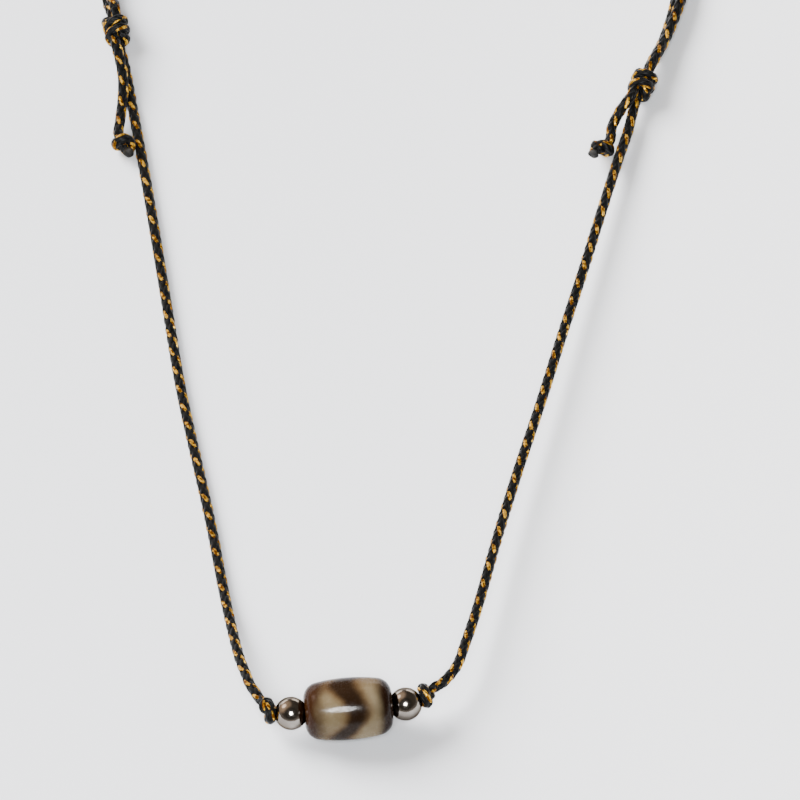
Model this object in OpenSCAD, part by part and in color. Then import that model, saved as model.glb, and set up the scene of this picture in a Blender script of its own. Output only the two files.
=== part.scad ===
// A barrel-shaped agate bead between two silver beads, on a braided cord that is closed
// by two sliding knots. It lies on a flat surface at z = 0, with the bead's hole along X.

/* [Agate bead] */
// Diameter of the agate bead at its belly
bead_d = 10; // [8:0.5:14]
// Length of the agate bead along its hole
bead_len = 14; // [12:0.5:20]
// Radius of the rounding between the side and each end
bead_edge_r = 2.5; // [1.8:0.1:2.8]
// How far the belly bows out beyond the two ends of the side
bead_crown = 0.4; // [0.2:0.05:0.8]
// Diameter of the hole drilled through the agate bead
bead_bore_d = 2.5; // [2.4:0.1:2.6]
// Diameter of the chamfer at each mouth of that hole
bead_mouth_d = 3.2; // [3:0.1:3.4]
// Depth of that chamfer
bead_mouth_depth = 0.4; // [0.2:0.1:0.8]

/* [Silver beads] */
// Diameter of a silver bead
spacer_d = 5.3; // [4.8:0.1:6.5]
// Diameter of the hole through a silver bead
spacer_bore_d = 2.2; // [2.1:0.1:2.4]
// Lean of the left silver bead's hole towards the cord's arm, in degrees
spacer_lean_left = 12; // [0:1:14]
// Lean of the right silver bead's hole towards the cord's arm, in degrees
spacer_lean_right = 16; // [0:1:18]
// Gap between pieces that sit against each other
seat_gap = 0.03; // [0.02:0.01:0.1]

/* [Cord] */
// Diameter of the braided cord
cord_d = 1.5; // [1.3:0.1:1.6]
// Diameter of the cord where a knot or a bead squeezes it
squeezed_d = 1.35; // [1.25:0.05:1.4]
// Gap between the two strands that run side by side
strand_gap = 0.2; // [0.18:0.01:0.3]

/* [Knots] */
// Length of a sliding knot, from one end face of its strands to the other
sliding_knot_len = 6.4; // [6:0.1:7.4]
// Further lean of an end knot towards the cord's arm, in degrees
end_knot_lean = 8; // [0:1:12]
// Length of the cut end that stands out of a stopper knot
cut_end_len = 0.6; // [0.4:0.1:1.5]

/* [Hidden] */
$fn = 96;
cord_sides = 8;
knot_steps = 3;
UP = [0, 0, 1];

cord_r = cord_d / 2;
strand_apart = cord_d + strand_gap;
axis_z = bead_d / 2;
// Height of the middle of a strand that lies on the surface
lying_z = cord_r + 0.02;
// A silver bead rests on the rim of the chamfer, and an end knot on the silver bead
spacer_x = bead_len / 2 + sqrt(pow(spacer_d / 2, 2) - pow(bead_mouth_d / 2, 2)) + seat_gap;
// Distance out and along of the full turn in the tables below, in squeezed diameters
sliding_out = 0.86;
overhand_out = 0.88;
overhand_low = 0.25;
knot_reach = (spacer_d + squeezed_d) / 2 + seat_gap;
end_knot_from_spacer = sqrt(pow(knot_reach, 2) - pow(overhand_out * squeezed_d, 2))
                     + squeezed_d * overhand_low;
// The turns of a sliding knot and of a stopper knot lie on the surface
sliding_z = (sliding_out + 0.55) * squeezed_d;
stopper_z = (overhand_out + 0.55) * squeezed_d;

// Where each sliding knot lies, and which way its strands run on round the neck
LEFT_KNOT = [-24.8, 134.4, sliding_z];
LEFT_KNOT_RUN = [-0.1, 1, 0];
RIGHT_KNOT = [58.6, 116, sliding_z];
RIGHT_KNOT_RUN = [0.4, 0.9, 0];
// How far the tying strand leans from straight above the strand that it holds, in degrees
tying_lean = 20;
// Angle round the held strand at which the tail comes out
tail_turn = -42;

// How far each end knot, left and right, sits off its silver bead's hole: across and up
END_KNOT_OFF = [[0, 0], [0.2, 0.2]];
// Route of each arm, from the end knot to the sliding knot, beside the start of each arm as
// steps [out, across, up] from the end knot's centre
ARM_LEFT_START = [[1.2, 2.3, -0.1], [1.8, 3.9, -0.4], [2.5, 5.7, -0.8], [3, 8.3, -1.3]];
ARM_LEFT = [[-16.1, 11.7, 3.2], [-16.5, 15, 2.7], [-17, 20.5, 1.9], [-17.5, 27.5, 1.1],
            [-18.1, 37, lying_z], [-20.8, 68, lying_z], [-21.5, 84, lying_z],
            [-22.8, 110.5, lying_z], [-23.2, 117, lying_z], [-23.5, 121.5, lying_z],
            [-23.7, 125.2, 0.9], [-24, 128.3, 1.4]];
ARM_RIGHT_START = [[2, 1.7, -0.1], [2.6, 2, -0.2], [3.7, 3, -0.2], [5, 4.5, -0.3],
                   [6.1, 6.4, -0.3]];
ARM_RIGHT = [[19.4, 9.7, 5], [21.3, 14.5, 4.8], [27, 31, 4.4],
             [31.3, 42.8, 4.1], [36, 55, 3.8], [40.8, 68, 3.5], [45.3, 80, 3.1],
             [49.5, 91.5, 2.8], [53.2, 101.5, 2.4], [55.4, 107.2, 2.1]];
// Route of the pair of strands round the neck, as the line midway between them, with the
// angle at which the inner strand stands above the outer one
BACK = [[-25.2, 140.5, 70], [-25.4, 146, 50], [-24.6, 154, 20], [-21.5, 165, 0],
        [-15.9, 175.2, 0], [-7.5, 183.5, 0], [2.5, 189.4, 0], [13.8, 192.7, 0],
        [25.4, 193.2, 0], [37.1, 190.6, 0], [47.6, 185.2, 0], [56.6, 177.4, 0],
        [63.4, 167.2, 0], [67.2, 156, 0], [68.2, 146, 0], [67.4, 137.5, -30],
        [65.8, 131.3, -55], [63.2, 124.8, -70]];
// Route of each tail, from its sliding knot to its stopper knot
TAIL_LEFT = [[-24.7, 128.2, 3.1], [-24.5, 124.5, 2.5], [-24.9, 121, 2], [-25.6, 117.4, 1.7]];
TAIL_RIGHT = [[54.3, 110.5, 2.6], [52.9, 108.3, 1.9]];
// Where each stopper knot lies, and which way its cut end points
LEFT_STOPPER = [-25.6, 112.6, stopper_z];
LEFT_STOPPER_RUN = [0.35, -1, 0];
RIGHT_STOPPER = [51.1, 104.4, stopper_z];
RIGHT_STOPPER_RUN = [-0.7, -0.7, 0];

// A tight overhand knot, and the sliding knot, as the cord winds round its own axis. Each row
// is [turn in degrees, along the axis, out from the axis, girth], in squeezed diameters
OVERHAND = [[0, -0.3, 0, 0.8], [-20, 0.2, 0.1, 0.62], [-15, 0.6, 0.36, 0.56],
            [12, 0.78, 0.74, 0.6], [45, 0.68, 1.03, 0.74], [90, 0.3, 1.02, 0.92],
            [135, 0, overhand_out, 1], [180, -0.15, overhand_out, 1],
            [225, -overhand_low, overhand_out, 1], [270, -overhand_low, overhand_out, 1],
            [315, -0.22, 0.88, 0.92], [350, -0.12, 0.9, 0.8], [378, 0.12, 0.9, 0.7],
            [398, 0.6, 0.88, 0.66]];
SLIDING = [[0, 1.7, 1.16, 1], [0, 0.8, 1.02, 0.9], [0, 0, 0.98, 0.85], [8, -0.95, 1, 0.9],
           [50, -1.5, 1, 1], [110, -1.45, 0.88, 1], [180, -1.3, sliding_out, 1],
           [240, -1.15, 0.9, 1], [280, -1, 1.12, 1], [315, -0.85, 1.45, 1],
           [350, -0.7, 1.7, 1], [385, -0.55, 1.5, 1], [425, -0.4, 1.08, 1],
           [480, -0.25, 0.88, 1], [540, -0.1, sliding_out, 1], [600, 0.1, 0.9, 1],
           [640, 0.25, 1.12, 1], [675, 0.4, 1.45, 1], [710, 0.55, 1.7, 1],
           [745, 0.7, 1.5, 1], [785, 0.8, 1.08, 1], [840, 0.95, 0.88, 1],
           [900, 1.1, sliding_out, 1], [965, 1.3, 0.95, 1], [1010, 1.15, 1, 0.95],
           [1032, 0.5, 0.98, 0.85], [1036, -0.3, 0.98, 0.85], [1038, -1.2, 1.08, 0.9]];

function unit(v) = v / norm(v);
function last(list) = list[len(list) - 1];
function part(list, from, to) = [for (i = [from : to]) list[i]];

// Smooth curve through points or numbers, with some steps from one to the next
function slope(p, i) = (p[min(i + 1, len(p) - 1)] - p[max(i - 1, 0)]) / 2;
function between(a, b, da, db, s) =
    a * (1 + s * s * (2 * s - 3)) + b * s * s * (3 - 2 * s)
    + da * s * (1 - s) * (1 - s) - db * s * s * (1 - s);
function smooth(p, steps) = concat(
    [for (i = [0 : len(p) - 2], k = [0 : steps - 1])
        between(p[i], p[i + 1], slope(p, i), slope(p, i + 1), k / steps)],
    [last(p)]);

// Tangents along a path, whose first and last are given, and sides carried along it
function tangents(p, from, to) = [for (i = [0 : len(p) - 1])
    i == 0 ? unit(from) : i == len(p) - 1 ? unit(to) : unit(p[i + 1] - p[i - 1])];
function square_to(v, t) = unit(v - (v * t) * t);
function carried(t, v) = [for (i = 0, s = square_to(v, t[0]); i < len(t);
    i = i + 1, s = i < len(t) ? square_to(s, t[i]) : s) s];

// Rings of a tube along a path, flat on its underside, with a diameter for every point
function rings(path, from, to, across) =
    let (t = tangents(path, from, to), s = carried(t, UP))
    [for (i = [0 : len(path) - 1], k = [0 : cord_sides - 1])
        let (a = 360 * (k + 0.5) / cord_sides, r = across[i] / 2 / cos(180 / cord_sides))
        path[i] + r * (cos(a) * s[i] + sin(a) * cross(t[i], s[i]))];

module tube(points) {
    count = len(points) / cord_sides;
    sides = [for (i = [0 : count - 2], k = [0 : cord_sides - 1])
        let (a = i * cord_sides, n = (k + 1) % cord_sides)
        [a + k, a + cord_sides + k, a + cord_sides + n, a + n]];
    start = [[for (k = [0 : cord_sides - 1]) k]];
    end = [[for (k = [cord_sides - 1 : -1 : 0]) (count - 1) * cord_sides + k]];
    polyhedron(points, concat(sides, start, end));
}

module cord(path, from, to) {
    color("#1c2124") tube(rings(path, from, to, [for (p = path) cord_d]));
}

// Points of a knot's table, round a centre, with its axis along run and turn 0 towards face
function wound(table, centre, run, face) = [for (row = table)
    centre + squeezed_d * (row[1] * run
    + row[2] * (cos(row[0]) * face + sin(row[0]) * cross(run, face)))];

// Diameters along a knot: the cord's own at both ends, and the table's between them
function girths(table) = smooth(
    concat([cord_d], [for (row = table) row[3] * squeezed_d], [cord_d]), knot_steps);

// Knot as three tubes, so that no tube crosses itself. Each one's end is thinner and runs on
// for one ring inside its neighbour
module knot(table, centre, run, face, first, end, from, to, breaks) {
    path = smooth(concat([first], wound(table, centre, run, face), [end]), knot_steps);
    girth = girths(table);
    stops = concat([0], [for (b = breaks) b * knot_steps], [len(path) - 1]);
    color("#1c2124") for (i = [0 : len(stops) - 2]) {
        across = [for (k = [0 : len(path) - 1]) girth[k] * (
            k < stops[i] || k > stops[i + 1] ? 0.8 : i > 0 && k == stops[i] ? 0.97 : 1)];
        start = max(stops[i] - 1, 0);
        stop = min(stops[i + 1] + 1, len(path) - 1);
        tube(part(rings(path, from, to, across), start * cord_sides,
                  (stop + 1) * cord_sides - 1));
    }
}

// The silver bead and the end knot on one side: way is -1 for the left, 1 for the right
function spacer_at(way) = [way * spacer_x, 0, axis_z];
function spacer_run(way) = let (lean = way < 0 ? spacer_lean_left : spacer_lean_right)
    [way * cos(lean), sin(lean), 0];
function through_end(way) = spacer_at(way) + spacer_d * 0.34 * spacer_run(way);
function through_half(way) = [
    [way * bead_len * 0.3, 0, axis_z],
    [way * (spacer_x - spacer_d * 0.48), -spacer_d * 0.27 * spacer_run(way).y, axis_z],
    through_end(way)];
function end_knot_run(way) = let (run = spacer_run(way), lean = end_knot_lean)
    [run.x * cos(lean) - way * run.y * sin(lean), run.y * cos(lean) + way * run.x * sin(lean), 0];
function end_knot_centre(way) =
    let (run = spacer_run(way), off = END_KNOT_OFF[way < 0 ? 0 : 1])
    spacer_at(way) + end_knot_from_spacer * run
    + off[0] * [-way * run.y, way * run.x, 0] + [0, 0, off[1]];
function arm_start(way, steps) =
    [for (s = steps) end_knot_centre(way) + [way * s.x, s.y, s.z]];

// Ends of the strands at a sliding knot
function knot_side(run) = cross(run, UP);
function knot_face(run) = cos(tying_lean) * UP + sin(tying_lean) * knot_side(run);
function held_end(centre, run, way) = centre + way * sliding_knot_len / 2 * run;
function tying_end(centre, run) = held_end(centre, run, 1) + strand_apart * knot_face(run);
function tail_start(centre, run) = held_end(centre, run, -1)
    + strand_apart * (cos(tail_turn) * knot_face(run)
    + sin(tail_turn) * cross(run, knot_face(run)));

left_run = unit(LEFT_KNOT_RUN);
right_run = unit(RIGHT_KNOT_RUN);

function arm_left() = concat(arm_start(-1, ARM_LEFT_START), ARM_LEFT,
                             [held_end(LEFT_KNOT, left_run, -1)]);
function arm_right() = concat(arm_start(1, ARM_RIGHT_START), ARM_RIGHT,
                              [held_end(RIGHT_KNOT, right_run, -1)]);
function arm_way(path) = path[1] - path[0];

// One strand of the pair round the neck: way is 1 for the inner strand, -1 for the outer
function in_plane(p, i) = let (t = BACK[min(i + 1, len(BACK) - 1)] - BACK[max(i - 1, 0)])
    unit([t.y, -t.x, 0]);
function strand(way) = [for (i = [0 : len(BACK) - 1])
    let (b = BACK[i], half = strand_apart / 2)
    [b.x, b.y, lying_z + half * abs(sin(b[2]))]
    + way * half * (cos(b[2]) * in_plane(BACK, i) + sin(b[2]) * UP)];

function tail_left() = concat([tail_start(LEFT_KNOT, left_run)], TAIL_LEFT,
                              [stopper_entry(LEFT_STOPPER, LEFT_STOPPER_RUN)]);
function tail_right() = concat([tail_start(RIGHT_KNOT, right_run)], TAIL_RIGHT,
                               [stopper_entry(RIGHT_STOPPER, RIGHT_STOPPER_RUN)]);
function stopper_entry(centre, run) = centre - 1.5 * squeezed_d * unit(run);

// Half of the agate bead's section from the belly to one end: distance out, along the hole
function agate_half() =
    let (half = bead_len / 2, shoulder_x = half - bead_edge_r,
         shoulder_y = bead_d / 2 - bead_edge_r - bead_crown, rise = bead_d / 2 - shoulder_y,
         belly_r = (rise * rise + shoulder_x * shoulder_x - bead_edge_r * bead_edge_r)
                 / (2 * bead_crown),
         lean = asin(shoulder_x / (belly_r - bead_edge_r)))
    concat([for (i = [0 : 7]) let (a = lean * i / 8)
                [bead_d / 2 - belly_r + belly_r * cos(a), belly_r * sin(a)]],
           [for (i = [0 : 12]) let (a = lean + (90 - lean) * i / 12)
                [shoulder_y + bead_edge_r * cos(a), shoulder_x + bead_edge_r * sin(a)]],
           [[bead_mouth_d / 2, half], [bead_bore_d / 2, half - bead_mouth_depth]]);

module dzi_bead() {
    half = agate_half();
    other = [for (i = [len(half) - 1 : -1 : 1]) [half[i].x, -half[i].y]];
    color("#a8957a")
    translate([0, 0, axis_z]) rotate([0, 90, 0])
        rotate_extrude() polygon(concat(half, other));
}

module spacer_bead(way) {
    lean = way < 0 ? -spacer_lean_left : spacer_lean_right;
    color("silver")
    translate(spacer_at(way)) rotate([0, 90, lean]) difference() {
        sphere(d = spacer_d);
        cylinder(d = spacer_bore_d, h = 2 * spacer_d, center = true);
    }
}
module spacer_bead_left() { spacer_bead(-1); }
module spacer_bead_right() { spacer_bead(1); }

module cord_through_beads() {
    left = through_half(-1);
    path = concat([for (i = [len(left) - 1 : -1 : 0]) left[i]], through_half(1));
    color("#1c2124") tube(rings(path, -spacer_run(-1), spacer_run(1),
                                [for (p = path) squeezed_d]));
}

module end_knot(way, arm) {
    knot(OVERHAND, end_knot_centre(way), end_knot_run(way), [0, 0, -way],
         through_end(way), arm[0], spacer_run(way), arm_way(arm), [6, 11]);
}
module end_knot_left() { end_knot(-1, arm_left()); }
module end_knot_right() { end_knot(1, arm_right()); }

module cord_arm_left() { cord(arm_left(), arm_way(arm_left()), left_run); }
module cord_arm_right() { cord(arm_right(), arm_way(arm_right()), right_run); }

module sliding_knot(centre, run) {
    knot(SLIDING, centre, run, knot_face(run), tying_end(centre, run),
         tail_start(centre, run), -run, -run, [7, 24]);
    color("#1c2124")
    tube(rings([for (i = [0 : 4]) centre + sliding_knot_len * (i / 4 - 0.5) * run], run, run,
               [cord_d, squeezed_d, squeezed_d, squeezed_d, cord_d]));
}
module sliding_knot_left() { sliding_knot(LEFT_KNOT, left_run); }
module sliding_knot_right() { sliding_knot(RIGHT_KNOT, right_run); }

module cord_back_inner() {
    cord(concat([tying_end(LEFT_KNOT, left_run)], strand(1),
                [held_end(RIGHT_KNOT, right_run, 1)]),
         left_run, -right_run);
}
module cord_back_outer() {
    cord(concat([held_end(LEFT_KNOT, left_run, 1)], strand(-1),
                [tying_end(RIGHT_KNOT, right_run)]),
         left_run, -right_run);
}

module cord_tail_left() { cord(tail_left(), -left_run, unit(LEFT_STOPPER_RUN)); }
module cord_tail_right() { cord(tail_right(), -right_run, unit(RIGHT_STOPPER_RUN)); }

module tail_knot(centre, run) {
    knot(OVERHAND, centre, run, UP, stopper_entry(centre, run),
         centre + (1.4 * squeezed_d + cut_end_len) * run, run, run, [6, 11]);
}
module tail_knot_left() { tail_knot(LEFT_STOPPER, unit(LEFT_STOPPER_RUN)); }
module tail_knot_right() { tail_knot(RIGHT_STOPPER, unit(RIGHT_STOPPER_RUN)); }

dzi_bead();
spacer_bead_left();
spacer_bead_right();
cord_through_beads();
end_knot_left();
end_knot_right();
cord_arm_left();
cord_arm_right();
sliding_knot_left();
sliding_knot_right();
cord_back_inner();
cord_back_outer();
cord_tail_left();
cord_tail_right();
tail_knot_left();
tail_knot_right();
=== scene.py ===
import math

import bpy
import numpy as np
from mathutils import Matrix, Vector


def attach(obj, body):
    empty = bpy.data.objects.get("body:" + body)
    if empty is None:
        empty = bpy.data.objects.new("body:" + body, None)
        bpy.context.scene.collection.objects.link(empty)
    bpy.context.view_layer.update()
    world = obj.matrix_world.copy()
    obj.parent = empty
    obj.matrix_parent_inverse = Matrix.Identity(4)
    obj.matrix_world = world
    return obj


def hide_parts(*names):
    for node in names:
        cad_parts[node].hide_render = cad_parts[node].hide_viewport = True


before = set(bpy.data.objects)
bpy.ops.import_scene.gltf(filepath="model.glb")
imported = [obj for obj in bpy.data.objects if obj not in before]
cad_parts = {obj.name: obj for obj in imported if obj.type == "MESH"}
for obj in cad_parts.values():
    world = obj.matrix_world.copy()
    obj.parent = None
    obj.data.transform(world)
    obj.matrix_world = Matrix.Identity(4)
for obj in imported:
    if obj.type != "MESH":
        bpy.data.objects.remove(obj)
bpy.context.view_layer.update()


# The camera and the lights
# The necklace is seen from the front and above through a long lens. A broad light stands
# behind it on the left and gives the soft shadows. A lamp by the camera fills them: it is
# two lights here, one that only brightens and one that only shows as a shine.

VIEW_DOWN = math.radians(57)
VIEW_TURN = math.radians(5.5)
VIEW_FAR = 6.0
VIEW_LIMIT = 50
PICTURE_CENTRE = Vector((0.0141, 0.0607, 0.0))
PICTURE_WIDTH = 0.128
SENSOR_WIDTH = 36
LAMP_AIM = Vector((0.0, 0.0, 0.005))
LAMP_COLOUR = (0.97, 0.985, 1.0)
KEY_FROM = (-0.62, 0.52, 0.58)
KEY_STRENGTH = 10.5
KEY_BREADTH = math.radians(39)
KEY_COLOUR = (0.975, 0.987, 1.0)

looking = Vector((math.sin(VIEW_TURN) * math.cos(VIEW_DOWN),
                  math.cos(VIEW_TURN) * math.cos(VIEW_DOWN), -math.sin(VIEW_DOWN)))


def placed(name, data, place, target):
    """A camera or light at its place, turned to its target."""
    obj = bpy.data.objects.new(name, data)
    bpy.context.scene.collection.objects.link(obj)
    obj.location = place
    direction = Vector(target) - obj.location
    obj.rotation_euler = direction.to_track_quat("-Z", "Y").to_euler()
    return obj


def lamp_light(name, distance, width, height, watts):
    """A round light between the camera and the beads, at a distance from the beads."""
    data = bpy.data.lights.new(name, "AREA")
    data.shape = "ELLIPSE"
    data.size = width
    data.size_y = height
    data.energy = watts
    data.color = LAMP_COLOUR
    return placed(name, data, LAMP_AIM - distance * looking, LAMP_AIM)


camera = placed("camera", bpy.data.cameras.new("camera"), PICTURE_CENTRE - VIEW_FAR * looking,
                PICTURE_CENTRE)
camera.data.sensor_width = SENSOR_WIDTH
camera.data.lens = SENSOR_WIDTH * VIEW_FAR / PICTURE_WIDTH
camera.data.clip_end = VIEW_LIMIT
bpy.context.scene.camera = camera

fill = lamp_light("camera_light", distance=1.3, width=0.46, height=0.46, watts=20.0)
fill.visible_glossy = False
shine = lamp_light("shine_light", distance=1.2, width=0.42, height=0.39, watts=40.0)
shine.visible_diffuse = False

key = placed("key_light", bpy.data.lights.new("key_light", "SUN"), KEY_FROM, (0, 0, 0))
key.data.energy = KEY_STRENGTH
key.data.angle = KEY_BREADTH
key.data.color = KEY_COLOUR
key.visible_glossy = False


# The pale sheet and the room
# The necklace lies loose on a plain matt sheet of nearly white card, with painted shade on
# its left and painted light on its right. The room round it is dim, which the polished beads
# mirror: a lit wall and the light at the back on the left, a window in two halves low at the
# back, and darkness behind the camera.

SHEET_HALF = 6
SHEET_BELOW = 0.00002
# Painted light: the sheet is painted darker on the left and lighter on the right, as if lit
# more there
SHEET_SHADED_LEFT = (0.846, 0.874, 0.918, 1)
SHEET_LIT_RIGHT = (0.935, 0.958, 0.992, 1)
SHEET_LIGHT_FADE = (0.0, 0.075)
WALLS_LOW = (0.60, 0.55, 0.51, 1)
WALLS_HIGH = (0.15, 0.125, 0.10, 1)
WALL_LIT = (1.35, 1.0, 0.72, 1)
WALL_DARK = (0.06, 0.049, 0.04, 1)
LIGHT_SPOT = (6.0, 4.7, 3.9, 1)
WINDOW = (7.0, 6.6, 6.3, 1)
# Where each begins and where it is full: how far up, back or aside a direction points, or the
# cosine of its angle to the light or to the camera
WALLS_EDGE = (0.0, 0.45)
WALL_LIT_EDGE = (0.60, 0.97)
WALL_DARK_EDGE = (0.55, 0.93)
LIGHT_SPOT_EDGE = (0.96, 0.99)
WINDOW_FOOT, WINDOW_HEAD = (0.01, 0.05), (0.20, 0.27)
WINDOW_SIDE, WINDOW_BAR = (0.72, 0.85), (0.10, 0.20)


class Sock:
    """A socket in a tree of nodes. Sums with it add Math nodes to the tree.

    Without a socket it stands for the tree alone and only adds nodes."""

    def __init__(self, tree, socket):
        self.tree = tree
        self.socket = socket

    def node(self, kind, inputs=(), out=0, **settings):
        """Adds any node. inputs maps a socket's name or number to a Sock or a value."""
        made = self.tree.nodes.new(kind)
        for name, value in settings.items():
            setattr(made, name, value)
        for key, value in dict(inputs).items():
            if isinstance(value, Sock):
                self.tree.links.new(value.socket, made.inputs[key])
            else:
                made.inputs[key].default_value = value
        return Sock(self.tree, made.outputs[out])

    def math(self, operation, *values):
        return self.node("ShaderNodeMath", dict(enumerate(values)), operation=operation)

    def vector(self, operation, *values, out="Vector"):
        return self.node("ShaderNodeVectorMath", dict(enumerate(values)), out,
                         operation=operation)

    def __add__(self, other):
        return self.math("ADD", self, other)

    def __radd__(self, other):
        return self.math("ADD", other, self)

    def __sub__(self, other):
        return self.math("SUBTRACT", self, other)

    def __rsub__(self, other):
        return self.math("SUBTRACT", other, self)

    def __mul__(self, other):
        return self.math("MULTIPLY", self, other)

    def __rmul__(self, other):
        return self.math("MULTIPLY", other, self)

    def __truediv__(self, other):
        return self.math("DIVIDE", self, other)

    def __rtruediv__(self, other):
        return self.math("DIVIDE", other, self)

    def __neg__(self):
        return self * -1.0

    def __abs__(self):
        return self.math("ABSOLUTE", self)

    def part(self, index):
        """One of the three parts of a vector or a colour."""
        return self.node("ShaderNodeSeparateXYZ", {0: self}, index)

    def step(self, low, high, at_low=0.0, at_high=1.0):
        """Goes softly from at_low to at_high as this value goes from low to high."""
        return self.node("ShaderNodeMapRange",
                         {"Value": self, "From Min": low, "From Max": high,
                          "To Min": at_low, "To Max": at_high},
                         interpolation_type="SMOOTHSTEP")

    def fade(self, low, high, at_low=1.0):
        """Goes softly from at_low to nothing as this value goes from low to high."""
        return self.step(low, high, at_low, 0.0)

    def mix(self, a, b):
        """Colour a where this value is 0, b where it is 1: sockets 6, 7 and out 2."""
        return self.node("ShaderNodeMix", {0: self, 6: a, 7: b}, 2, data_type="RGBA")

    def noise(self, scale, detail=2.0, roughness=0.5):
        return self.node("ShaderNodeTexNoise", {"Vector": self, "Scale": scale,
                                                "Detail": detail, "Roughness": roughness})


def material(name, **settings):
    """A Principled material, a maker of its nodes, and what feeds its sockets and bump."""
    made = bpy.data.materials.new(name)
    made.use_nodes = True
    shader = made.node_tree.nodes["Principled BSDF"]
    for key, value in settings.items():
        shader.inputs[key.replace("_", " ")].default_value = value
    maker = Sock(made.node_tree, None)

    def feed(key, value):
        made.node_tree.links.new(value.socket, shader.inputs[key])

    def bump(height, distance, strength):
        feed("Normal", maker.node("ShaderNodeBump", {"Height": height, "Distance": distance,
                                                     "Strength": strength}))
    return made, maker, feed, bump


def mesh_object(name, verts, faces, mat, uv=None):
    """A smooth mesh of one material, with one uv for each vertex where it needs them."""
    mesh = bpy.data.meshes.new(name)
    mesh.from_pydata([tuple(v) for v in verts], [], faces)
    if uv is not None:
        layer = mesh.uv_layers.new(name="UVMap")
        index = np.empty(len(mesh.loops), dtype=np.int32)
        mesh.loops.foreach_get("vertex_index", index)
        layer.data.foreach_set("uv", np.asarray(uv, dtype=np.float32)[index].ravel())
    mesh.polygons.foreach_set("use_smooth", [True] * len(mesh.polygons))
    mesh.materials.append(mat)
    mesh.update()
    obj = bpy.data.objects.new(name, mesh)
    bpy.context.scene.collection.objects.link(obj)
    return obj


sheet, maker, feed, bump = material("pale_sheet", Roughness=0.75, Specular_IOR_Level=0.2)
place = maker.node("ShaderNodeTexCoord", out="Object")
# The sheet's colour goes from painted shade on the left to painted light on the right, with a
# little random tone
sheet_light_and_tone = place.part(0).step(*SHEET_LIGHT_FADE) * 0.85 + place.noise(scale=3.0) * 0.15
feed("Base Color", sheet_light_and_tone.mix(SHEET_SHADED_LEFT, SHEET_LIT_RIGHT))
floor = mesh_object("floor", [(-SHEET_HALF, -SHEET_HALF, 0), (SHEET_HALF, -SHEET_HALF, 0),
                              (SHEET_HALF, SHEET_HALF, 0), (-SHEET_HALF, SHEET_HALF, 0)],
                    [(0, 1, 2, 3)], sheet)
floor.location.z = -SHEET_BELOW

world = bpy.data.worlds.new("dim_room")
world.use_nodes = True
sky = Sock(world.node_tree, None)
heading = sky.node("ShaderNodeTexCoord", out="Generated")
height = heading.part(2)
to_key = sky.vector("DOT_PRODUCT", heading, tuple(Vector(KEY_FROM).normalized()), out="Value")
to_camera = sky.vector("DOT_PRODUCT", heading, tuple(-looking), out="Value")
window = (height.step(*WINDOW_FOOT) * height.fade(*WINDOW_HEAD)
          * heading.part(1).step(*WINDOW_SIDE) * abs(heading.part(0)).step(*WINDOW_BAR))
room = height.step(*WALLS_EDGE).mix(WALLS_LOW, WALLS_HIGH)
room = to_key.step(*WALL_LIT_EDGE).mix(room, WALL_LIT)
room = to_camera.step(*WALL_DARK_EDGE).mix(room, WALL_DARK)
room = to_key.step(*LIGHT_SPOT_EDGE).mix(room, LIGHT_SPOT)
room = window.mix(room, WINDOW)
world.node_tree.links.new(room.socket, world.node_tree.nodes["Background"].inputs["Color"])
bpy.context.scene.world = world


# The agate bead
# A barrel of banded agate, ground and polished by hand, with a hole drilled along it for the
# cord. The dark zigzag round its belly is dyed into the stone, and so are its brown ends. It
# lies on the sheet with its hole along X. Shapes are measured in mm from here on.

MM = 0.001
AGATE_D = 10
AGATE_LEN = 14
AGATE_EDGE_R = 2.5
AGATE_CROWN = 0.4
AGATE_BORE_R = 1.25
AGATE_REST_R = 1.6
# The mouth of the hole: distance out from the middle, and depth below the end
AGATE_MOUTH = [(1.72, 0), (AGATE_REST_R, 0.03), (1.5, 0.1), (AGATE_BORE_R, 0.4),
               (AGATE_BORE_R, 3)]
AXIS_Z = AGATE_D / 2
TURNED_SIDES = 160
BELLY_STEPS = 14
EDGE_STEPS = 24

GROUND_DARK = (0.119, 0.087, 0.045, 1)
GROUND_PALE = (0.180, 0.143, 0.085, 1)
FLECKS, FLECKS_SHARE = (0.235, 0.192, 0.119, 1), 0.30
HALO_BROWN, HALO_SHARE = (0.055, 0.026, 0.009, 1), 0.75
# Painted shade: the top and back of the bead are painted browner, where they turn from the
# light
BACK_PAINTED_SHADE, BACK_SHADE_SHARE = (0.058, 0.032, 0.0135, 1), 0.85
ZIGZAG_BROWN, ZIGZAG_SHARE = (0.010, 0.0048, 0.0024, 1), 0.96
LEFT_END_BROWN = (0.017, 0.0058, 0.0016, 1)
RIGHT_END_BROWN = (0.011, 0.0045, 0.0020, 1)
# The zigzag points to the right every 120 degrees, first at 40 degrees to the front of the
# top. Its middle and reach lie along the bead, and its edges are measured from its middle.
ZIGZAG_PERIOD = 120.0
ZIGZAG_START = 40.0
ZIGZAG_MIDDLE = 0.2
ZIGZAG_REACH = 1.05
ZIGZAG_WOBBLE = 1.8
ZIGZAG_EDGE = (0.6, 2.3)
HALO_EDGE = (1.2, 3.2)
# Its left point low on the front is drawn out further, between these degrees
LONG_POINT = 0.9
LONG_POINT_FROM, LONG_POINT_TO = (60.0, 105.0), (130.0, 175.0)
# Where the brown of each end stops, along the bead
LEFT_END_EDGE, LEFT_END_WOBBLE = (-6.1, -3.0), 1.6
RIGHT_END_EDGE, RIGHT_END_WOBBLE = (3.7, 5.8), 1.4
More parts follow.
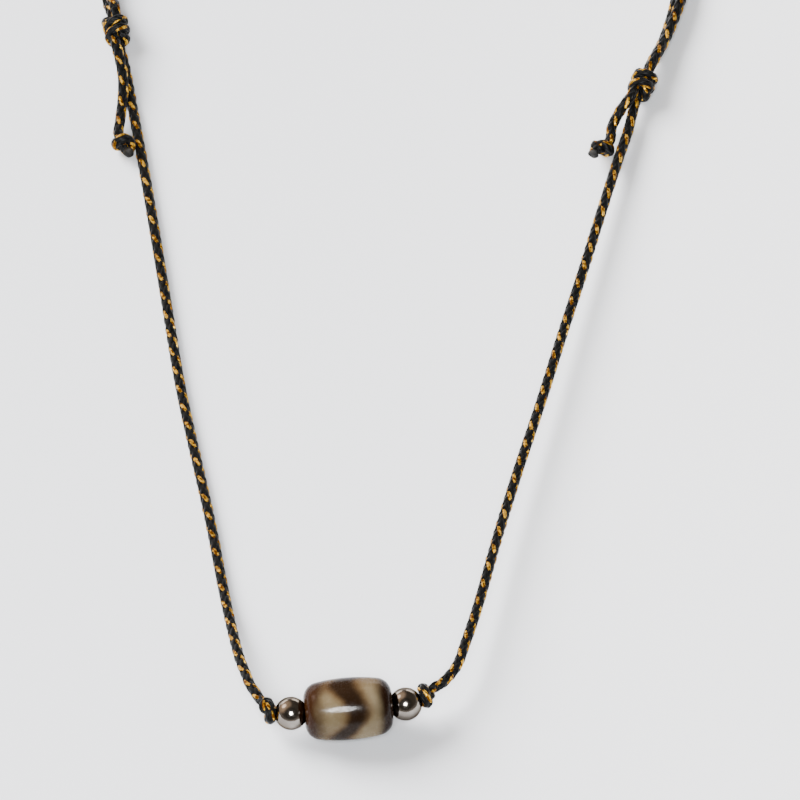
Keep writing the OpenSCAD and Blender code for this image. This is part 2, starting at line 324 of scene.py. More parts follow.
# Towards the back the ground is painted browner as shade, and the zigzag is wider and the left
# end's brown longer: the degrees from which and to which that fades, and by how much
BACK_EDGE = (-50.0, 25.0)
ZIGZAG_BACK_EDGE, ZIGZAG_BACK_WIDER = (-15.0, 30.0), 0.55
LEFT_BACK_EDGE, LEFT_BACK_LONGER = (-50.0, 20.0), 1.3


def unit(v):
    """A vector's direction, at the length of 1."""
    v = np.asarray(v, float)
    return v / np.linalg.norm(v)


def turned(name, profile, centre, axis, mat):
    """A closed profile of (out, along) turned round an axis through centre."""
    start = unit(np.cross(axis, (0, 1, 0)))
    quarter = np.cross(unit(axis), start)
    angle = 2 * math.pi * np.arange(TURNED_SIDES) / TURNED_SIDES
    spokes = np.cos(angle)[:, None] * start + np.sin(angle)[:, None] * quarter
    out, along = np.asarray(profile, float).T
    verts = (np.asarray(centre) + along[:, None, None] * unit(axis)
             + out[:, None, None] * spokes)
    rings = len(profile)
    faces = []
    for ring in range(rings):
        here, there = ring * TURNED_SIDES, (ring + 1) % rings * TURNED_SIDES
        for k in range(TURNED_SIDES):
            after = (k + 1) % TURNED_SIDES
            faces.append([here + k, here + after, there + after, there + k])
    return mesh_object(name, verts.reshape(-1, 3) * MM, faces, mat)


def agate_side():
    """Half the barrel's section, from its belly to inside its hole: (out, along)."""
    shoulder_x = AGATE_LEN / 2 - AGATE_EDGE_R
    shoulder_y = AXIS_Z - AGATE_EDGE_R - AGATE_CROWN
    rise = AXIS_Z - shoulder_y
    belly = (rise ** 2 + shoulder_x ** 2 - AGATE_EDGE_R ** 2) / (2 * AGATE_CROWN)
    lean = math.asin(shoulder_x / (belly - AGATE_EDGE_R))
    side = []
    for i in range(BELLY_STEPS):
        angle = lean * i / BELLY_STEPS
        side.append((AXIS_Z - belly + belly * math.cos(angle), belly * math.sin(angle)))
    for i in range(EDGE_STEPS + 1):
        angle = lean + (math.pi / 2 - lean) * i / EDGE_STEPS
        side.append((shoulder_y + AGATE_EDGE_R * math.cos(angle),
                     shoulder_x + AGATE_EDGE_R * math.sin(angle)))
    return side + [(out, AGATE_LEN / 2 - depth) for out, depth in AGATE_MOUTH]


agate, maker, feed, bump = material("banded_agate", Roughness=0.3, Specular_IOR_Level=0.03,
                                    Coat_Weight=0.1, Coat_Roughness=0.13, Coat_IOR=2.6,
                                    IOR=1.54)
place = maker.node("ShaderNodeTexCoord", out="Object")
x = place.part(0) * (1 / MM)
y = place.part(1) * (1 / MM)
z = place.part(2) * (1 / MM) - AXIS_Z
wobble = place.noise(scale=260.0) - 0.5
fine = place.noise(scale=900.0, detail=4.0, roughness=0.6)
broad = place.noise(scale=120.0)
# Degrees round the bead, from its top towards the front
turn = maker.math("ARCTAN2", -y, z) * math.degrees(1)
swing = abs(maker.math("FRACT", (turn - ZIGZAG_START) / ZIGZAG_PERIOD) - 0.5) * 2.0
line = ZIGZAG_MIDDLE + (swing.step(0.0, 1.0) * 2.0 - 1.0) * ZIGZAG_REACH
line = line - turn.step(*LONG_POINT_FROM, at_high=LONG_POINT) * turn.fade(*LONG_POINT_TO)
away = (abs(x - line - wobble * ZIGZAG_WOBBLE)
        - turn.fade(*ZIGZAG_BACK_EDGE, ZIGZAG_BACK_WIDER))
halo = away.fade(*HALO_EDGE)
dark = away.fade(*ZIGZAG_EDGE)
from_left = x + wobble * LEFT_END_WOBBLE - turn.fade(*LEFT_BACK_EDGE, LEFT_BACK_LONGER)
left_end = from_left.fade(*LEFT_END_EDGE)
right_end = (x + wobble * RIGHT_END_WOBBLE).step(*RIGHT_END_EDGE)
ground = broad.step(0.3, 0.7).mix(GROUND_DARK, GROUND_PALE)
ground = fine.step(0.45, 0.8, at_high=FLECKS_SHARE).mix(ground, FLECKS)
tinted = (halo * HALO_SHARE).mix(ground, HALO_BROWN)
# Painted shade over the top and back of the bead
tinted = turn.fade(*BACK_EDGE, BACK_SHADE_SHARE).mix(tinted, BACK_PAINTED_SHADE)
tinted = left_end.mix(tinted, LEFT_END_BROWN)
tinted = (dark * ZIGZAG_SHARE).mix(tinted, ZIGZAG_BROWN)
feed("Base Color", right_end.mix(tinted, RIGHT_END_BROWN))
glint = place.noise(scale=3600.0, roughness=0.7)
feed("Roughness", glint.step(0.35, 0.7, at_low=0.10, at_high=0.40))
feed("Coat Weight", glint.step(0.40, 0.62, at_low=0.008, at_high=0.075))
bump(glint + broad * 4.0, distance=0.000012, strength=0.6)

half = agate_side()
bead = turned("dzi_bead_agate", half + [(out, -along) for out, along in half[:0:-1]],
              (0, 0, AXIS_Z), (1, 0, 0), agate)
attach(bead, "root")
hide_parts("dzi_bead")


# The silver beads
# Two seamless round beads, pressed from silver sheet and buffed bright, with fine handling
# marks. Each is threaded next to the agate and rests on the rim of the agate's hole, with
# its own hole leaning a little towards the cord's arm.

SEAT_GAP = 0.03
SPACER_D = 5.3
SPACER_BORE_R = 1.1
# The left side is -1 and the right side 1, for the silver beads, end knots and arms
SPACER_LEAN = {-1: math.radians(12), 1: math.radians(16)}
SPACER_X = AGATE_LEN / 2 + math.sqrt((SPACER_D / 2) ** 2 - AGATE_REST_R ** 2) + SEAT_GAP
BALL_STEPS = 40
BORE_STEPS = 8
SILVER_DARK = (0.180, 0.160, 0.138, 1)
SILVER_PALE = (0.270, 0.246, 0.220, 1)
SILVER_EDGE = (0.16, 0.145, 0.13, 1)
SCRATCH_LENGTHS = (1.0, 6.0, 2.0)


def spacer_at(way):
    """The middle of the silver bead on that side."""
    return np.array([way * SPACER_X, 0, AXIS_Z])


def spacer_run(way):
    """The direction of a silver bead's hole, away from the agate."""
    return np.array([way * math.cos(SPACER_LEAN[way]), math.sin(SPACER_LEAN[way]), 0])


def ball_section():
    """The section of a round bead with a hole through it: (out, along)."""
    radius = SPACER_D / 2
    mouth = math.acos(SPACER_BORE_R / radius)
    section = []
    for k in range(-BALL_STEPS, BALL_STEPS + 1):
        angle = mouth * k / BALL_STEPS
        section.append((radius * math.cos(angle), radius * math.sin(angle)))
    bore_end = section[-1][1]
    return section + [(SPACER_BORE_R, bore_end * (1 - 2 * k / BORE_STEPS))
                      for k in range(1, BORE_STEPS)]


silver, maker, feed, bump = material("bright_silver", Metallic=1.0, Roughness=0.08,
                                     Specular_Tint=SILVER_EDGE)
place = maker.node("ShaderNodeTexCoord", out="Object")
haze = place.noise(scale=500.0, detail=3.0)
scratch = maker.vector("MULTIPLY", place, SCRATCH_LENGTHS).noise(1500.0, detail=3.0,
                                                                 roughness=0.7)
feed("Base Color", haze.step(0.3, 0.75).mix(SILVER_DARK, SILVER_PALE))
feed("Roughness", scratch.step(0.4, 0.8, at_low=0.10, at_high=0.22))
bump(scratch, distance=0.000004, strength=0.5)

for way, side_name in ((-1, "left"), (1, "right")):
    ball = turned("spacer_bead_" + side_name + "_silver", ball_section(), spacer_at(way),
                  spacer_run(way), silver)
    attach(ball, "root")
    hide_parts("spacer_bead_" + side_name)


# The cord through the beads
# One round braided cord makes the whole necklace. Its middle is threaded through the holes
# of the three beads, squeezed a little and out of sight. Each stretch of it is a list of
# points with the cord's girth there, as a share of its own.

SQUEEZED_D = 1.35
HELD_GIRTH = 0.9
STRAIGHT_HALF = 4.2
# Where the cord bends inside a silver bead, as shares of that bead's diameter
BEND_IN = 0.48
BEND_ASIDE = 0.27
BEND_OUT = 0.34


def full(points):
    """Points where the cord has its full girth."""
    return [(np.asarray(p, float), 1.0) for p in points]


def inner_mouth(way):
    """Where the cord comes out of the agate into a silver bead."""
    return np.array([way * (SPACER_X - BEND_IN * SPACER_D),
                     -BEND_ASIDE * SPACER_D * spacer_run(way)[1], AXIS_Z])


def through_end(way):
    """Just inside a silver bead's outer mouth, where the end knot's cord begins."""
    return spacer_at(way) + BEND_OUT * SPACER_D * spacer_run(way)


through_beads = [(p, HELD_GIRTH) for p in (
    inner_mouth(1), np.array([STRAIGHT_HALF, 0, AXIS_Z]), np.array([-STRAIGHT_HALF, 0, AXIS_Z]),
    inner_mouth(-1), through_end(-1))]


# The end knots
# A tight overhand knot in the cord outside each silver bead keeps the three beads together.
# It is pulled up against the bead, so it sits in the mouth of the hole and leans further.

OVERHAND_OUT = 0.88
OVERHAND_LOW = 0.25
# Each row: turn in degrees, along the axis, out from the axis, girth, in squeezed diameters
OVERHAND = [(0, -0.3, 0, 0.8), (-20, 0.2, 0.1, 0.62), (-15, 0.6, 0.36, 0.56),
            (12, 0.78, 0.74, 0.6), (45, 0.68, 1.03, 0.74), (90, 0.3, 1.02, 0.92),
            (135, 0, OVERHAND_OUT, 1), (180, -0.15, OVERHAND_OUT, 1),
            (225, -OVERHAND_LOW, OVERHAND_OUT, 1), (270, -OVERHAND_LOW, OVERHAND_OUT, 1),
            (315, -0.22, 0.88, 0.92), (350, -0.12, 0.9, 0.8), (378, 0.12, 0.9, 0.7),
            (398, 0.6, 0.88, 0.66)]
OVERHAND_FULLER = 1.25
# The share of its girth that the braid keeps in a knot, and the least that counts of a row's
KNOT_GIRTH = 0.85
KNOT_LEAST = 0.8
# Half the cord in a wrap, in squeezed diameters, with a little room under it
WRAP_HALF = 0.55
END_KNOT_LEAN = math.radians(8)
# How far each end knot sits off its silver bead's hole: across and up
END_KNOT_OFF = {-1: (0, 0), 1: (0.2, 0.2)}
# The knot's full turn rests on the ball
KNOT_REACH = (SPACER_D + SQUEEZED_D) / 2 + SEAT_GAP
FROM_SPACER = (math.sqrt(KNOT_REACH ** 2 - (OVERHAND_OUT * SQUEEZED_D) ** 2)
               + SQUEEZED_D * OVERHAND_LOW)


def wound(table, centre, run, face, fuller=1.0, tight=1.0):
    """A knot's table as points and girths. Its turns start at face and go round run."""
    across = np.cross(run, face)
    points = []
    for turn, along, out, girth in table:
        turn = math.radians(turn)
        spoke = math.cos(turn) * face + math.sin(turn) * across
        points.append((np.asarray(centre) + SQUEEZED_D * (along * run + tight * out * spoke),
                       max(girth, KNOT_LEAST) * KNOT_GIRTH * fuller))
    return points


def end_knot_centre(way):
    """The middle of the knot outside a silver bead."""
    run = spacer_run(way)
    across, up = END_KNOT_OFF[way]
    off = np.array([-way * run[1] * across, way * run[0] * across, up])
    return spacer_at(way) + FROM_SPACER * run + off


def end_knot(way):
    """The end knot of one side, from the silver bead out to the arm."""
    lean = SPACER_LEAN[way] + END_KNOT_LEAN
    run = np.array([way * math.cos(lean), math.sin(lean), 0])
    return wound(OVERHAND, end_knot_centre(way), run, np.array([0, 0, -way]), OVERHAND_FULLER)


# The arms
# From each end knot the cord runs up its side of the loop to a sliding knot. The left arm
# comes down to lie on the sheet. The right one stays a few mm over it, held up by the bead
# and the knot. The START rows are steps out, across and up from the end knot's centre.

# Height of the middle of the braid where it lies on the sheet
LYING_Z = 0.88
ARM_LEFT_START = [(1.2, 2.3, -0.1), (1.8, 3.9, -0.4), (2.5, 5.7, -0.8), (3, 8.3, -1.3)]
ARM_LEFT = [(-16.1, 11.7, 3.2), (-16.5, 15, 2.7), (-17, 20.5, 1.9), (-17.5, 27.5, 1.1),
            (-18.1, 37, LYING_Z), (-20.8, 68, LYING_Z), (-21.5, 84, LYING_Z),
            (-22.8, 110.5, LYING_Z), (-23.2, 117, LYING_Z), (-23.5, 121.5, LYING_Z),
            (-23.7, 125.2, 0.9), (-24, 128.3, 1.4)]
ARM_RIGHT_START = [(2, 1.7, -0.1), (2.6, 2, -0.2), (3.7, 3, -0.2), (5, 4.5, -0.3),
                   (6.1, 6.4, -0.3)]
ARM_RIGHT = [(19.4, 9.7, 5), (21.3, 14.5, 4.8), (27, 31, 4.4), (31.3, 42.8, 4.1),
             (36, 55, 3.8), (40.8, 68, 3.5), (45.3, 80, 3.1), (49.5, 91.5, 2.8),
             (53.2, 101.5, 2.4), (55.4, 107.2, 2.1)]


def arm_start(way, steps):
    """The points of an arm that follow its end knot."""
    return [end_knot_centre(way) + np.array([way * x, y, z]) for x, y, z in steps]


# The sliding knots
# Each end of the cord is wound two and a half times round the other strand and tucked back
# through, which makes a knot that slides along that strand to open or close the loop. The
# tying end comes in above the strand that it holds, and its tail leaves beside it.

UP = np.array([0.0, 0.0, 1.0])
STRANDS_APART = 1.7
SLIDING_LEN = 6.4
SLIDING_OUT = 0.86
SLIDING_Z = (SLIDING_OUT + WRAP_HALF) * SQUEEZED_D
TYING_LEAN = math.radians(20)
TAIL_TURN = math.radians(-42)
LEFT_KNOT, LEFT_KNOT_RUN = (-24.8, 134.4, SLIDING_Z), unit((-0.1, 1, 0))
RIGHT_KNOT, RIGHT_KNOT_RUN = (58.6, 116, SLIDING_Z), unit((0.4, 0.9, 0))
# Rows as in the overhand knot's table
SLIDING = [(0, 1.7, 1.16, 1), (0, 0.8, 1.02, 0.9), (0, 0, 0.98, 0.85), (8, -0.95, 1, 0.9),
           (50, -1.5, 1, 1), (110, -1.45, 0.88, 1), (180, -1.3, SLIDING_OUT, 1),
           (240, -1.15, 0.9, 1), (280, -1, 1.12, 1), (315, -0.85, 1.45, 1),
           (350, -0.7, 1.7, 1), (385, -0.55, 1.5, 1), (425, -0.4, 1.08, 1),
           (480, -0.25, 0.88, 1), (540, -0.1, SLIDING_OUT, 1), (600, 0.1, 0.9, 1),
           (640, 0.25, 1.12, 1), (675, 0.4, 1.45, 1), (710, 0.55, 1.7, 1),
           (745, 0.7, 1.5, 1), (785, 0.8, 1.08, 1), (840, 0.95, 0.88, 1),
           (900, 1.1, SLIDING_OUT, 1), (965, 1.3, 0.95, 1), (1010, 1.15, 1, 0.95),
           (1032, 0.5, 0.98, 0.85), (1036, -0.3, 0.98, 0.85), (1038, -1.2, 1.08, 0.9)]


def knot_face(run):
    """The side of the held strand on which the tying end lies."""
    return math.cos(TYING_LEAN) * UP + math.sin(TYING_LEAN) * np.cross(run, UP)


def held_end(centre, run, way):
    """Where the held strand leaves its knot, towards the neck for 1 and the arm for -1."""
    return np.asarray(centre) + way * SLIDING_LEN / 2 * run


def tying_end(centre, run):
    """Where the tying end comes in from the neck."""
    return held_end(centre, run, 1) + STRANDS_APART * knot_face(run)


def tail_start(centre, run):
    """Where the tail leaves the knot."""
    face = knot_face(run)
    return held_end(centre, run, -1) + STRANDS_APART * (
        math.cos(TAIL_TURN) * face + math.sin(TAIL_TURN) * np.cross(run, face))


def held_strand(centre, run, way):
    """The half of the held strand inside a sliding knot, from its middle to one end."""
    return [(np.asarray(centre), HELD_GIRTH)] + full([held_end(centre, run, way)])


# Round the neck
# Two strands of the cord run side by side from one sliding knot to the other, round the back
# of the neck, and lie loose on the sheet. Each row is a point midway between them and the
# angle at which the inner strand stands above the outer one.

BACK = [(-25.2, 140.5, 70), (-25.4, 146, 50), (-24.6, 154, 20), (-21.5, 165, 0),
        (-15.9, 175.2, 0), (-7.5, 183.5, 0), (2.5, 189.4, 0), (13.8, 192.7, 0),
        (25.4, 193.2, 0), (37.1, 190.6, 0), (47.6, 185.2, 0), (56.6, 177.4, 0),
        (63.4, 167.2, 0), (67.2, 156, 0), (68.2, 146, 0), (67.4, 137.5, -30),
        (65.8, 131.3, -55), (63.2, 124.8, -70)]


def back_strand(way):
    """The inner strand where way is 1, the outer one where it is -1."""
    points = []
    for i, (x, y, angle) in enumerate(BACK):
        before, after = BACK[max(i - 1, 0)], BACK[min(i + 1, len(BACK) - 1)]
        across = unit((after[1] - before[1], before[0] - after[0], 0))
        angle = math.radians(angle)
        middle = np.array([x, y, LYING_Z + STRANDS_APART / 2 * abs(math.sin(angle))])
        points.append(middle + way * STRANDS_APART / 2 * (math.cos(angle) * across
                                                          + math.sin(angle) * UP))
    return points


# The tails and their stopper knots
# Below each sliding knot a short tail of the cord is left. The overhand knot at the end of
# it stops the tail from slipping back through, and a bit of cut cord stands out of it.

TAIL_LEFT = [(-24.7, 128.2, 3.1), (-24.5, 124.5, 2.5), (-24.9, 121, 2), (-25.6, 117.4, 1.7)]
TAIL_RIGHT = [(54.3, 110.5, 2.6), (52.9, 108.3, 1.9)]
STOPPER_Z = (OVERHAND_OUT + WRAP_HALF) * SQUEEZED_D
STOPPER_ENTRY = 1.1
STOPPER_TIGHT = 0.86
LEFT_STOPPER, LEFT_STOPPER_RUN = (-25.6, 112.6, STOPPER_Z), unit((0.35, -1, 0))
RIGHT_STOPPER, RIGHT_STOPPER_RUN = (51.1, 104.4, STOPPER_Z), unit((-0.7, -0.7, 0))


def stopper(centre, run, face, reach, lift):
    """The knot's points from its entry to the cut end, reach beyond its centre and lifted."""
    centre = np.asarray(centre)
    return (full([centre - STOPPER_ENTRY * SQUEEZED_D * run])
            + wound(OVERHAND, centre, run, face, OVERHAND_FULLER, STOPPER_TIGHT)
            + full([centre + reach * run + lift * UP]))


left_stopper = stopper(LEFT_STOPPER, LEFT_STOPPER_RUN, -UP, reach=2.1, lift=0.3)
right_stopper = stopper(RIGHT_STOPPER, RIGHT_STOPPER_RUN, UP, reach=2.5, lift=1.1)


# The whole cord from end to end
# The stretches join into one length of cord, from the left tail round the neck, down the
# right arm, through the beads, up the left arm and round the neck again to the right tail.
# Each starts where the one before it ends.

ROUTE_STEP = 0.2
CURVE_STEP = 0.04
LEAST_STEPS = 4
TINY = 1e-12
STRETCHES = [
    ("tail_knot_left", left_stopper[::-1]),
    ("cord_tail_left", full(TAIL_LEFT[::-1] + [tail_start(LEFT_KNOT, LEFT_KNOT_RUN)])),
    ("sliding_knot_left",
     wound(SLIDING, LEFT_KNOT, LEFT_KNOT_RUN, knot_face(LEFT_KNOT_RUN))[::-1]
     + full([tying_end(LEFT_KNOT, LEFT_KNOT_RUN)])),
    ("cord_back_inner", full(back_strand(1) + [held_end(RIGHT_KNOT, RIGHT_KNOT_RUN, 1)])),
    ("held_right", held_strand(RIGHT_KNOT, RIGHT_KNOT_RUN, -1)),
    ("cord_arm_right", full(ARM_RIGHT[::-1] + arm_start(1, ARM_RIGHT_START)[::-1])),
    ("end_knot_right", end_knot(1)[::-1] + [(through_end(1), HELD_GIRTH)]),
    ("cord_through_beads", through_beads),
    ("end_knot_left", end_knot(-1) + full([arm_start(-1, ARM_LEFT_START)[0]])),
    ("cord_arm_left", full(arm_start(-1, ARM_LEFT_START)[1:] + ARM_LEFT
                           + [held_end(LEFT_KNOT, LEFT_KNOT_RUN, -1)])),
    ("held_left", held_strand(LEFT_KNOT, LEFT_KNOT_RUN, 1)),
    ("cord_back_outer", full(back_strand(-1) + [tying_end(RIGHT_KNOT, RIGHT_KNOT_RUN)])),
    ("sliding_knot_right",
     wound(SLIDING, RIGHT_KNOT, RIGHT_KNOT_RUN, knot_face(RIGHT_KNOT_RUN))
     + full([tail_start(RIGHT_KNOT, RIGHT_KNOT_RUN)])),
    ("cord_tail_right", full(TAIL_RIGHT + [right_stopper[0][0]])),
    ("tail_knot_right", right_stopper[1:]),
]


def along_route():
    """The route as points ROUTE_STEP apart, with girths, distances and stretches' ranges."""
    controls = [control for _, part in STRETCHES for control in part]
    place = np.array([control[0] for control in controls])
    girth = np.array([control[1] for control in controls])
    free = np.array(["knot" not in name for name, part in STRETCHES for _ in part])
    gap = np.linalg.norm(np.diff(place, axis=0), axis=1)
    chord = np.diff(place, axis=0) / gap[:, None]
    slope = np.vstack([chord[:1], (chord[:-1] * gap[1:, None] + chord[1:] * gap[:-1, None])
                       / (gap[:-1] + gap[1:])[:, None], chord[-1:]])
    # A free stretch never sags below the heights of its points
    rise = chord[:-1, 2] * chord[1:, 2]
    level = np.where(rise > 0, 2 * rise / (chord[:-1, 2] + chord[1:, 2] + TINY), 0)
    slope[1:-1, 2] = np.where(free[1:-1], level, slope[1:-1, 2])

    # A smooth curve from each control point to the next
    curve, curve_girth, at_control = [], [], []
    for i in range(len(place) - 1):
        count = max(LEAST_STEPS, int(gap[i] / CURVE_STEP))
        share = (np.arange(count) / count)[:, None]
        ease = share * share * (3 - 2 * share)
        at_control.append(len(curve))
        curve.extend(place[i] * (1 - ease) + place[i + 1] * ease
                     + gap[i] * (slope[i] * share * (1 - share) ** 2
                                 - slope[i + 1] * share * share * (1 - share)))
        curve_girth.extend(girth[i] + (girth[i + 1] - girth[i]) * ease[:, 0])
    at_control.append(len(curve))
    curve.append(place[-1])
    curve_girth.append(girth[-1])

    # The same curve in even steps
    curve = np.array(curve)
    run = np.concatenate([[0], np.cumsum(np.linalg.norm(np.diff(curve, axis=0), axis=1))])
    steps = int(round(run[-1] / ROUTE_STEP))
    even = np.linspace(0, run[-1], steps + 1)
    points = np.column_stack([np.interp(even, run, curve[:, k]) for k in range(3)])
    ranges, first, last_control = {}, 0, -1
    for name, part in STRETCHES:
        last_control += len(part)
        last = int(round(run[at_control[last_control]] / run[-1] * steps))
        ranges[name] = (first, last)
        first = last
    return points, np.interp(even, run, curve_girth), even, ranges


def units(rows):
    """Each row of an array at the length of 1."""
    return rows / np.linalg.norm(rows, axis=1)[:, None]


def carried_sides(points):
    """The route's directions, and a side direction carried along it without twist."""
    tangent = units(np.gradient(points, axis=0))
    side = np.empty_like(points)
    across = np.cross(tangent[0], UP)
    for i, ahead in enumerate(tangent):
        across = unit(across - (across @ ahead) * ahead)
        side[i] = across
    return tangent, side


route, girth, run_mm, RANGES = along_route()
tangent, side = carried_sides(route)
other = np.cross(tangent, side)
print("Cord, mm:", {name: round(float(run_mm[b] - run_mm[a]), 1)
                    for name, (a, b) in RANGES.items()},
      "in all", round(float(run_mm[-1]), 1))


# The braid
# The cord is a round braid of eight yarns, four each way, over one and under one. Six are
# black nylon. The two that run opposite each other one way are gold foil yarn, so the gold
# shows as short dashes in rows. The braid is a little tighter next to the beads.

# How far a yarn runs along the cord in one turn: at the beads, and what is added in a
# distance from them
LAY_AT_BEADS = 6.6
LAY_SLACKER = 0.8
LAY_SLACK_AFTER = 130
YARN_SIDES = 6
# A yarn's place and size in cord of full girth, and what is added where it crosses over
YARN_OUT, YARN_OUT_OVER = 0.61, 0.035
YARN_WIDE, YARN_WIDE_OVER = 0.36, 0.03
YARN_THICK, YARN_THICK_OVER = 0.21, 0.025
# How far a yarn sways from its even turn between crossings, in radians
YARN_SWAY = 0.14
# Length of a yarn in a length of cord
YARN_TAKE_UP = 1.15
GOLD_SLIM = 0.85
GOLD_PROUD = 0.035
CORE_R = 0.70
CORE_SIDES = 8
# The cord was turned here and there as it was laid out: distance from the agate, radians
ROLL = [(-150, 0.1), (-120, 0.1), (-108, 0.6), (-98, 1.0), (-88, 0.9), (-70, 0.83),
        (-60, 0.39), (-52, 0.47), (-42, 0.88), (-30, 0.96), (-15, 0.3), (15, 0.2),
        (40, -0.25), (50, 0.35), (62, 0.6), (78, 0.65), (88, 0.2), (101, -0.08),
        (118, 0.5), (150, 0.65)]
ROLL_ALL = -0.385

NYLON_DARK = (0.0008, 0.0011, 0.0012, 1)
NYLON_PALE = (0.0042, 0.0050, 0.0052, 1)
GOLD_DARK = (0.14, 0.050, 0.003, 1)
GOLD_BRIGHT = (0.83, 0.50, 0.058, 1)
HAIR_LENGTHS = (0.8, 26.0, 1.0)
FOIL_FACETS = (2.6, 5.0, 1.0)

from_beads = run_mm - run_mm[sum(RANGES["cord_through_beads"]) // 2]
lay = LAY_AT_BEADS + LAY_SLACKER * np.clip(np.abs(from_beads) / LAY_SLACK_AFTER, 0, 1)
laid = np.concatenate([[0], np.cumsum(np.diff(run_mm) / ((lay[1:] + lay[:-1]) / 2))])
roll = ROLL_ALL + np.interp(from_beads, *zip(*ROLL))

nylon, maker, feed, bump = material("black_nylon_braid", Roughness=0.5, Specular_IOR_Level=0.11,
                                    Sheen_Weight=0.02, Sheen_Roughness=0.4)
uv = maker.node("ShaderNodeUVMap", uv_map="UVMap")
hair = maker.vector("MULTIPLY", uv, HAIR_LENGTHS).noise(1.0, detail=3.0, roughness=0.6)
patch = maker.node("ShaderNodeTexCoord", out="Object").noise(scale=900.0)
shade = hair * 0.7 + patch * 0.3
feed("Base Color", shade.step(0.35, 0.75).mix(NYLON_DARK, NYLON_PALE))
feed("Roughness", hair.step(0.3, 0.8, at_low=0.34, at_high=0.6))
bump(hair, distance=0.00003, strength=0.6)

gold, maker, feed, bump = material("gold_foil_yarn", Metallic=1.0, Roughness=0.25)
uv = maker.node("ShaderNodeUVMap", uv_map="UVMap")
crinkle = maker.node("ShaderNodeTexCoord", out="Object").noise(2600.0, roughness=0.6)
facet = maker.node("ShaderNodeTexVoronoi",
                   {"Vector": maker.vector("MULTIPLY", uv, FOIL_FACETS), "Scale": 1.0},
                   "Color")
shade = crinkle * 0.45 + facet.part(0) * 0.55
feed("Base Color", shade.step(0.36, 0.72).mix(GOLD_DARK, GOLD_BRIGHT))
feed("Roughness", facet.part(1).step(0.0, 1.0, at_low=0.36, at_high=0.60))
bump(crinkle + facet.part(2) * 1.2, distance=0.00005, strength=1.0)


def tube(centre, across, up, run, sides, first_corner=0.0):
    """A closed tube from its rings' middles and half axes: vertices, faces, uv."""
    count = len(centre)
    around = (first_corner + 2 * math.pi * np.arange(sides) / sides)[:, None]
    rings = (centre[:, None] + np.cos(around) * across[:, None]
             + np.sin(around) * up[:, None])
    starts = np.arange(count - 1)[:, None] * sides
    here = (starts + np.arange(sides)).ravel()
    beside = (starts + (np.arange(sides) + 1) % sides).ravel()
    faces = np.column_stack([here, beside, beside + sides, here + sides]).tolist()
    faces += [list(range(sides))[::-1], list(range((count - 1) * sides, count * sides))]
    uv = np.column_stack([np.repeat(run, sides), np.tile(np.arange(sides) / sides, count)])
    return rings.reshape(-1, 3) * MM, faces, uv


def yarn(way, quarter, first, last, slim=1.0, proud=0.0):
    """One yarn, laid one way or the other, between two points of the route."""
    i = np.arange(first, last + 1)
    base = way * 2 * math.pi * laid[i] + quarter * math.pi / 2
    over = (1 + way * np.cos(4 * base)) / 2
    angle = base - YARN_SWAY * way * np.sin(4 * base) + roll[i]
    out = np.cos(angle)[:, None] * side[i] + np.sin(angle)[:, None] * other[i]
    radius = (YARN_OUT + YARN_OUT_OVER * over + proud) * girth[i]
    centre = route[i] + radius[:, None] * out
    heading = units(np.gradient(centre, axis=0))
    flat = units(np.cross(heading, out))
    wide = (YARN_WIDE + YARN_WIDE_OVER * over) * girth[i] * slim
    thick = (YARN_THICK + YARN_THICK_OVER * over) * girth[i]
    return tube(centre, wide[:, None] * flat, thick[:, None] * np.cross(flat, heading),
                run_mm[i] * YARN_TAKE_UP, YARN_SIDES, math.pi / YARN_SIDES)


def core(first, last):
    """The braid's filling, which closes the gaps between the yarns."""
    i = np.arange(first, last + 1)
    reach = CORE_R * girth[i][:, None]
    return tube(route[i], reach * side[i], reach * other[i], run_mm[i], CORE_SIDES)


def joined(tubes):
    """Some tubes as one mesh: vertices, faces, uv."""
    verts, faces, uv, base = [], [], [], 0
    for tube_verts, tube_faces, tube_uv in tubes:
        verts.append(tube_verts)
        uv.append(tube_uv)
        faces.extend([[k + base for k in face] for face in tube_faces])
        base += len(tube_verts)
    return np.vstack(verts), faces, np.vstack(uv)


def braided(name, first, last):
    """The cord between two points of the route: its black yarns and core, and its gold."""
    black = [core(first, last)]
    black += [yarn(1, quarter, first, last) for quarter in range(4)]
    black += [yarn(-1, quarter, first, last) for quarter in (1, 3)]
    bright = [yarn(-1, quarter, first, last, GOLD_SLIM, GOLD_PROUD) for quarter in (0, 2)]
    pieces = []
    for piece_name, tubes, mat in ((name, black, nylon), (name + "_gold", bright, gold)):
        verts, faces, uv_list = joined(tubes)
        obj = mesh_object(piece_name, verts, faces, mat, uv_list)
        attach(obj, "root")
        pieces.append(obj)
    return pieces


# The knots, the tails and the stretch inside the beads
# These stretches of the cord are tied tight, held inside the beads, or too short to hang
# loose, so they keep their form. Each is the same black and gold braid, wound the way that
# its knot goes.

SHORT_STRETCHES = ("end_knot_left", "end_knot_right", "sliding_knot_left",
                   "sliding_knot_right", "cord_tail_left", "cord_tail_right",
                   "tail_knot_left", "tail_knot_right", "cord_through_beads")
for name in SHORT_STRETCHES:
    braided(name + "_braid", *RANGES[name])
    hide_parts(name)


# The cut ends
# Each end of the cord is cut and melted with a flame, so that the nylon runs together into a
# hard dull lump and the braid can't come undone. The right one is grey, and the left one is
# singed darker.

CUT_R = 0.88
CUT_HALF = 0.46
CUT_INSIDE = 0.05
CUT_ROWS, CUT_COLS = 12, 24
# Waves round the cap: their number, their height as a share of its radius, where they start
CUT_LUMPS = [(3, 0.05, 1), (5, 0.04, 0)]
SINGED_DARK = (0.0015, 0.0013, 0.0010, 1)
SINGED_PALE = (0.013, 0.010, 0.005, 1)
MELTED_DARK = (0.003, 0.003, 0.003, 1)
MELTED_PALE = (0.040, 0.039, 0.034, 1)


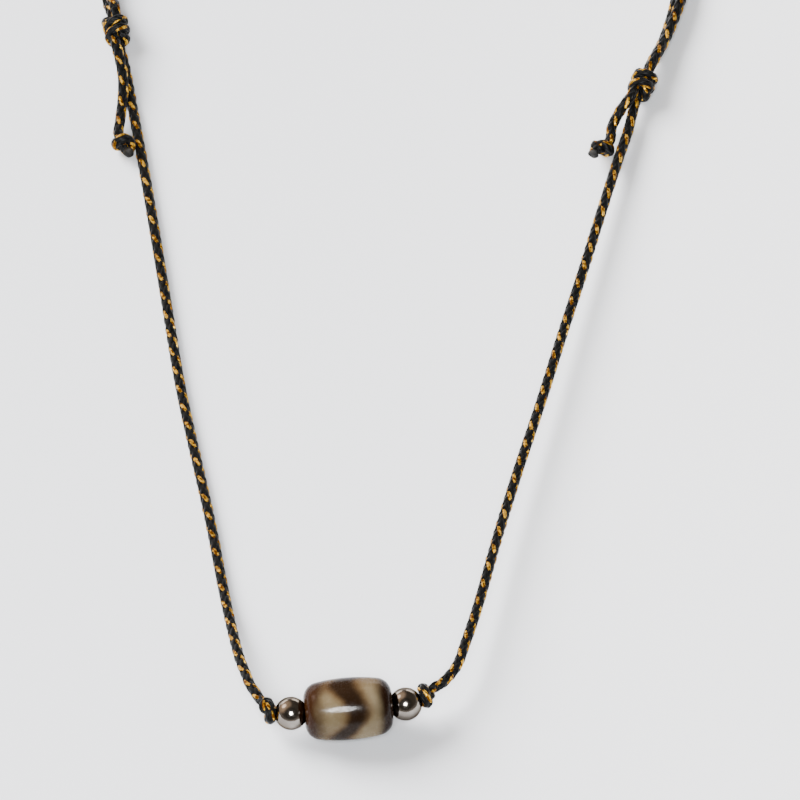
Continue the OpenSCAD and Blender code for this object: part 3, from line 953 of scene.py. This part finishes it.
def melted(name, dark, pale):
    """Nylon that was melted and set again."""
    mat, maker, feed, bump = material(name, Roughness=0.45, Specular_IOR_Level=0.2)
    lump = maker.node("ShaderNodeTexCoord", out="Object").noise(1800.0, detail=3.0)
    feed("Base Color", lump.step(0.35, 0.7).mix(dark, pale))
    bump(lump, distance=0.0003, strength=1.0)
    return mat


def cut_end(name, index, way, mat):
    """A lumpy cap over one end of the route. way is -1 at its start and 1 at its end."""
    outward = tangent[index] * way
    centre = route[index] - CUT_INSIDE * outward
    start = unit(np.cross(outward, UP))
    quarter = np.cross(outward, start)
    verts = []
    for row in range(CUT_ROWS + 1):
        polar = math.pi * row / CUT_ROWS
        for col in range(CUT_COLS):
            turn = 2 * math.pi * col / CUT_COLS
            reach = CUT_R * (1 + sum(high * math.sin(waves * turn + begun)
                                     for waves, high, begun in CUT_LUMPS))
            spoke = math.cos(turn) * start + math.sin(turn) * quarter
            verts.append((centre + CUT_HALF * math.cos(polar) * outward
                          + reach * math.sin(polar) * spoke) * MM)
    faces = []
    for row in range(CUT_ROWS):
        here, there = row * CUT_COLS, (row + 1) * CUT_COLS
        for col in range(CUT_COLS):
            after = (col + 1) % CUT_COLS
            faces.append([here + col, here + after, there + after, there + col])
    cap = mesh_object(name, verts, faces, mat)
    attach(cap, "root")
    return cap


cut_left = cut_end("cut_end_left", 0, -1, melted("singed_end", SINGED_DARK, SINGED_PALE))
cut_right = cut_end("cut_end_right", len(route) - 1, 1,
                    melted("melted_end", MELTED_DARK, MELTED_PALE))


# The two long strands
# Each is the cord from an end knot up its arm, held inside one sliding knot, and on round
# the neck to the other, which it ties. The cord lies as it was laid out, and each strand is
# built as the same black and gold braid.

PATH_EVERY = 8


def long_strand(name, arm, back):
    """The stretches arm and back braided as one cord, in place of their parts."""
    first = min(RANGES[arm][0], RANGES[back][0])
    last = max(RANGES[arm][1], RANGES[back][1])
    path = [tuple(p) for p in route[first:last + 1:PATH_EVERY] * MM]
    if first == RANGES[back][0]:
        path.reverse()
    strand, strand_gold = braided(name, first, last)
    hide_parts(arm, back)


long_strand("left_strand", "cord_arm_left", "cord_back_outer")
long_strand("right_strand", "cord_arm_right", "cord_back_inner")
